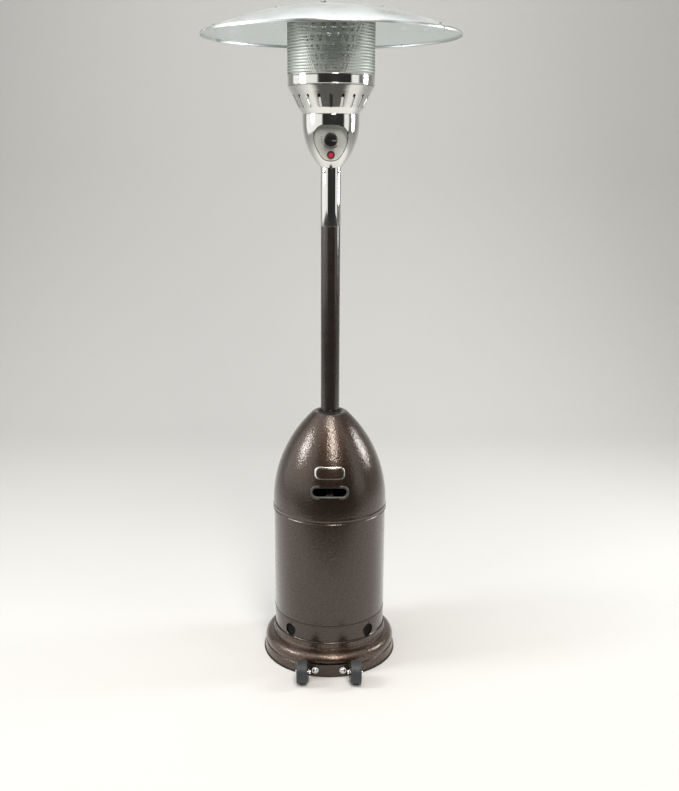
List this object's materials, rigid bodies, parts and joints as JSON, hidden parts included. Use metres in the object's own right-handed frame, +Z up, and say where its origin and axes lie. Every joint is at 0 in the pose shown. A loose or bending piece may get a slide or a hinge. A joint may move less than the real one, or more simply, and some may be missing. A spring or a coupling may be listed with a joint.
{
  "type": "patio heater",
  "caption": "Free-standing gas patio heater with a domed tank cover that lifts up the post, a perforated emitter under a wide dish reflector, and wheels for moving it.",
  "frame": {"origin": "centre of the foot ring on the ground", "axes": "+Z up the post, -Y towards the front, where the controls, the hand slot and the wheels are, +X to the right of someone facing +Y"},
  "size_m": [0.82, 0.82, 2.2033],
  "materials": {
    "hammered_bronze": "hammered gloss",
    "post_paint": "gloss",
    "stainless": "polished",
    "aluminium": "satin",
    "panel_metal": "satin",
    "black_plastic": "satin",
    "red_plastic": "gloss",
    "wheel_plastic": "matte",
    "rubber": "matte",
    "zinc": "bright zinc plate",
    "steel": "plain",
    "brass": "satin",
    "ceramic": "glazed"
  },
  "bodies": {
    "frame": {"foot_ring": "rubber", "base_plate": "steel", "base_ring": "hammered_bronze", "base_collar": "hammered_bronze", "support_leg_1": "steel", "support_leg_2": "steel", "support_leg_3": "steel", "post_socket": "steel", "wheel_bracket": "hammered_bronze", "wheel_axle_left": "zinc", "bracket_bolt_left": "zinc", "wheel_axle_right": "zinc", "bracket_bolt_right": "zinc", "lower_post": "post_paint", "post_sleeve": "post_paint", "head_mount": "steel", "gas_pipe": "steel", "regulator": "aluminium", "bottle_handwheel": "black_plastic", "tilt_switch": "black_plastic", "control_housing": "stainless", "control_panel": "panel_metal", "gas_valve": "aluminium", "igniter_body": "black_plastic", "igniter_bezel": "black_plastic", "burner_bowl": "stainless", "burner_band": "stainless", "burner_pan": "steel", "outlet_pipe": "brass", "venturi_tube": "aluminium", "main_burner": "stainless", "flame_cone": "stainless", "pilot_burner": "brass", "igniter_electrode": "ceramic", "thermocouple": "brass", "emitter_screen": "stainless", "emitter_cap": "stainless", "reflector_panel_1": "aluminium", "reflector_panel_2": "aluminium", "reflector_panel_3": "aluminium", "reflector_bolt_1": "zinc", "reflector_bolt_2": "zinc", "reflector_bolt_3": "zinc", "seam_screw_1": "zinc", "seam_screw_2": "zinc", "seam_screw_3": "zinc", "seam_screw_4": "zinc", "seam_screw_5": "zinc", "seam_screw_6": "zinc", "centre_cap": "aluminium"},
    "tank_cover": {"cover_shell": "hammered_bronze", "cover_dome": "hammered_bronze", "hand_slot_trim": "black_plastic", "post_grommet": "rubber", "name_plate": "stainless"},
    "valve_stem": {"valve_stem": "brass"},
    "control_knob": {"control_knob": "black_plastic"},
    "igniter_button": {"igniter_button": "red_plastic"},
    "wheel_left": {"wheel_left": "wheel_plastic"},
    "wheel_right": {"wheel_right": "wheel_plastic"}
  },
  "joints": [
    {"name": "cover_lift", "type": "slide", "parent": "frame", "child": "tank_cover", "axis": [0, 0, 1], "range_m": [0, 0.45]},
    {"name": "wheel_left_spin", "type": "hinge", "parent": "frame", "child": "wheel_left", "pos_m": [-0.092, -0.272, 0.0405], "axis": [1, 0, 0], "continuous": true},
    {"name": "wheel_right_spin", "type": "hinge", "parent": "frame", "child": "wheel_right", "pos_m": [0.092, -0.272, 0.0405], "axis": [1, 0, 0], "continuous": true},
    {"name": "knob_push", "type": "slide", "parent": "frame", "child": "valve_stem", "axis": [0, 0.9763, 0.2164], "range_m": [0, 0.003], "stiffness_N_per_m": 1500, "springref_m": -0.002},
    {"name": "knob_turn", "type": "hinge", "parent": "valve_stem", "child": "control_knob", "pos_m": [0, -0.052, 1.792], "axis": [0, -0.9763, -0.2164], "range_deg": [0, 180]},
    {"name": "igniter_push", "type": "slide", "parent": "frame", "child": "igniter_button", "axis": [0, 0.9763, 0.2164], "range_m": [0, 0.004], "stiffness_N_per_m": 800, "springref_m": -0.002}
  ]
}
